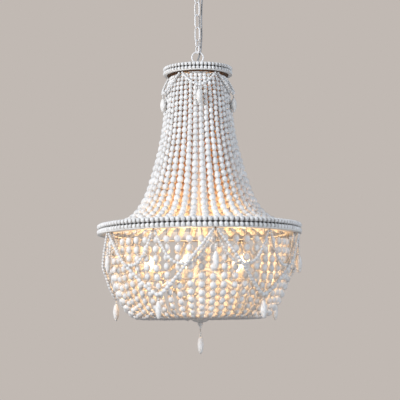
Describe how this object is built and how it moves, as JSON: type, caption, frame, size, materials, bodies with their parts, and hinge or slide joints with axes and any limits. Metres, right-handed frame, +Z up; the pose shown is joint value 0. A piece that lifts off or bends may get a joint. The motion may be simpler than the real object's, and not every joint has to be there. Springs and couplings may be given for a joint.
{
  "type": "beaded chandelier",
  "caption": "Hanging empire chandelier: strands of white wooden beads flare from a crown hoop to a wide hoop and close below as a bowl round the lamps, with bead garlands and spindle drops.",
  "frame": {"origin": "centre of the ceiling bracket's top face, on the ceiling", "axes": "+Z up, -Y towards the front that the picture shows, +X to its right"},
  "size_m": [0.61, 0.61, 1.1536],
  "materials": {
    "white_metal": "satin off-white paint on iron",
    "white_wood": "whitewashed, matt, with grain showing through",
    "grey_cord": "smoky grey flexible PVC",
    "ivory_sleeve": "matt candle sleeve",
    "bulb_glass": "frosted and lit warm white"
  },
  "bodies": {
    "ceiling_fitting": {"ceiling_bracket": "white_metal", "canopy": "white_metal", "canopy_loop": "white_metal", "cord_bushing": "grey_cord"},
    "chain": {"chain_link_1": "white_metal", "chain_link_2": "white_metal", "chain_link_3": "white_metal", "chain_link_4": "white_metal", "small_link_1": "white_metal", "small_link_2": "white_metal", "power_cord": "grey_cord"},
    "lamp_frame": {"top_loop": "white_metal", "crown_hoop": "white_metal", "main_hoop": "white_metal", "upper_strands_1": "white_wood", "lower_strands_1": "white_wood", "upper_strands_2": "white_wood", "lower_strands_2": "white_wood", "upper_strands_3": "white_wood", "lower_strands_3": "white_wood", "upper_strands_4": "white_wood", "lower_strands_4": "white_wood", "upper_strands_5": "white_wood", "lower_strands_5": "white_wood", "upper_stem": "white_metal", "lamp_arms": "white_metal", "candle_sleeve_1": "ivory_sleeve", "candle_sleeve_2": "ivory_sleeve", "candle_sleeve_3": "ivory_sleeve", "candle_sleeve_4": "ivory_sleeve", "candle_sleeve_5": "ivory_sleeve", "bottom_dish": "white_metal", "lower_stem": "white_metal", "dish_nut": "white_metal", "bottom_finial": "white_metal", "crown_garland": "white_wood", "short_garland": "white_wood", "long_garland": "white_wood"},
    "bulb_1": {"bulb_1": "bulb_glass"},
    "bulb_2": {"bulb_2": "bulb_glass"},
    "bulb_3": {"bulb_3": "bulb_glass"},
    "bulb_4": {"bulb_4": "bulb_glass"},
    "bulb_5": {"bulb_5": "bulb_glass"},
    "bottom_drop": {"bottom_drop": "white_wood"},
    "crown_drop_1": {"crown_drop_1": "white_wood"},
    "swag_drop_1": {"swag_drop_1": "white_wood"},
    "hook_drop_1": {"hook_drop_1": "white_wood"},
    "crown_drop_2": {"crown_drop_2": "white_wood"},
    "swag_drop_2": {"swag_drop_2": "white_wood"},
    "hook_drop_2": {"hook_drop_2": "white_wood"},
    "crown_drop_3": {"crown_drop_3": "white_wood"},
    "swag_drop_3": {"swag_drop_3": "white_wood"},
    "hook_drop_3": {"hook_drop_3": "white_wood"},
    "crown_drop_4": {"crown_drop_4": "white_wood"},
    "swag_drop_4": {"swag_drop_4": "white_wood"},
    "hook_drop_4": {"hook_drop_4": "white_wood"},
    "crown_drop_5": {"crown_drop_5": "white_wood"},
    "swag_drop_5": {"swag_drop_5": "white_wood"},
    "hook_drop_5": {"hook_drop_5": "white_wood"}
  },
  "joints": [
    {"name": "chain_swing", "type": "hinge", "parent": "ceiling_fitting", "child": "chain", "pos_m": [0, 0, -0.05788], "axis": [1, 0, 0], "range_deg": [-8, 8]},
    {"name": "lamp_tilt", "type": "hinge", "parent": "chain", "child": "lamp_frame", "pos_m": [0, 0, -0.24966], "axis": [0, 1, 0], "range_deg": [-5, 5]},
    {"name": "bulb_1_turn", "type": "hinge", "parent": "lamp_frame", "child": "bulb_1", "pos_m": [-0.14943, -0.01307, -0.9249], "axis": [0, 0, 1], "range_deg": [0, 1440]},
    {"name": "bulb_2_turn", "type": "hinge", "parent": "lamp_frame", "child": "bulb_2", "pos_m": [-0.03374, -0.14616, -0.9249], "axis": [0, 0, 1], "range_deg": [0, 1440]},
    {"name": "bulb_3_turn", "type": "hinge", "parent": "lamp_frame", "child": "bulb_3", "pos_m": [0.12858, -0.07726, -0.9249], "axis": [0, 0, 1], "range_deg": [0, 1440]},
    {"name": "bulb_4_turn", "type": "hinge", "parent": "lamp_frame", "child": "bulb_4", "pos_m": [0.11321, 0.09841, -0.9249], "axis": [0, 0, 1], "range_deg": [0, 1440]},
    {"name": "bulb_5_turn", "type": "hinge", "parent": "lamp_frame", "child": "bulb_5", "pos_m": [-0.05861, 0.13808, -0.9249], "axis": [0, 0, 1], "range_deg": [0, 1440]},
    {"name": "crown_drop_1_swing", "type": "hinge", "parent": "lamp_frame", "child": "crown_drop_1", "pos_m": [0.10605, -0.03041, -0.388], "axis": [-0.2756, -0.9613, 0], "range_deg": [0, 25]},
    {"name": "crown_drop_2_swing", "type": "hinge", "parent": "lamp_frame", "child": "crown_drop_2", "pos_m": [0.06169, 0.09146, -0.388], "axis": [0.829, -0.5592, 0], "range_deg": [0, 25]},
    {"name": "crown_drop_3_swing", "type": "hinge", "parent": "lamp_frame", "child": "crown_drop_3", "pos_m": [-0.06792, 0.08694, -0.388], "axis": [0.788, 0.6157, 0], "range_deg": [0, 25]},
    {"name": "crown_drop_4_swing", "type": "hinge", "parent": "lamp_frame", "child": "crown_drop_4", "pos_m": [-0.10367, -0.03773, -0.388], "axis": [-0.342, 0.9397, 0], "range_deg": [0, 25]},
    {"name": "crown_drop_5_swing", "type": "hinge", "parent": "lamp_frame", "child": "crown_drop_5", "pos_m": [0.00385, -0.11026, -0.373], "axis": [-0.9994, -0.0349, 0], "range_deg": [0, 25]},
    {"name": "swag_drop_1_swing", "type": "hinge", "parent": "lamp_frame", "child": "swag_drop_1", "pos_m": [0.17954, -0.1808, -0.993], "axis": [-0.7096, -0.7046, 0], "range_deg": [-10, 25]},
    {"name": "swag_drop_2_swing", "type": "hinge", "parent": "lamp_frame", "child": "swag_drop_2", "pos_m": [0.22743, 0.11488, -0.993], "axis": [0.4509, -0.8926, 0], "range_deg": [-10, 25]},
    {"name": "swag_drop_3_swing", "type": "hinge", "parent": "lamp_frame", "child": "swag_drop_3", "pos_m": [-0.03898, 0.2518, -0.993], "axis": [0.9882, 0.153, 0], "range_deg": [-10, 25]},
    {"name": "swag_drop_4_swing", "type": "hinge", "parent": "lamp_frame", "child": "swag_drop_4", "pos_m": [-0.25152, 0.04074, -0.993], "axis": [0.1599, 0.9871, 0], "range_deg": [-10, 25]},
    {"name": "swag_drop_5_swing", "type": "hinge", "parent": "lamp_frame", "child": "swag_drop_5", "pos_m": [-0.11647, -0.22662, -0.993], "axis": [-0.8894, 0.4571, 0], "range_deg": [-10, 25]},
    {"name": "hook_drop_1_swing", "type": "hinge", "parent": "lamp_frame", "child": "hook_drop_1", "pos_m": [0.0451, -0.29133, -0.8055], "axis": [-0.9882, -0.153, 0], "range_deg": [0, 25]},
    {"name": "hook_drop_2_swing", "type": "hinge", "parent": "lamp_frame", "child": "hook_drop_2", "pos_m": [0.29101, -0.04713, -0.8055], "axis": [-0.1599, -0.9871, 0], "range_deg": [0, 25]},
    {"name": "hook_drop_3_swing", "type": "hinge", "parent": "lamp_frame", "child": "hook_drop_3", "pos_m": [0.13475, 0.2622, -0.8055], "axis": [0.8894, -0.4571, 0], "range_deg": [0, 25]},
    {"name": "hook_drop_4_swing", "type": "hinge", "parent": "lamp_frame", "child": "hook_drop_4", "pos_m": [-0.20773, 0.20918, -0.8055], "axis": [0.7096, 0.7046, 0], "range_deg": [0, 25]},
    {"name": "hook_drop_5_swing", "type": "hinge", "parent": "lamp_frame", "child": "hook_drop_5", "pos_m": [-0.26313, -0.13292, -0.8055], "axis": [-0.4509, 0.8926, 0], "range_deg": [0, 25]},
    {"name": "bottom_drop_swing", "type": "hinge", "parent": "lamp_frame", "child": "bottom_drop", "pos_m": [0, 0, -1.0786], "axis": [1, 0, 0], "range_deg": [-25, 25]}
  ]
}
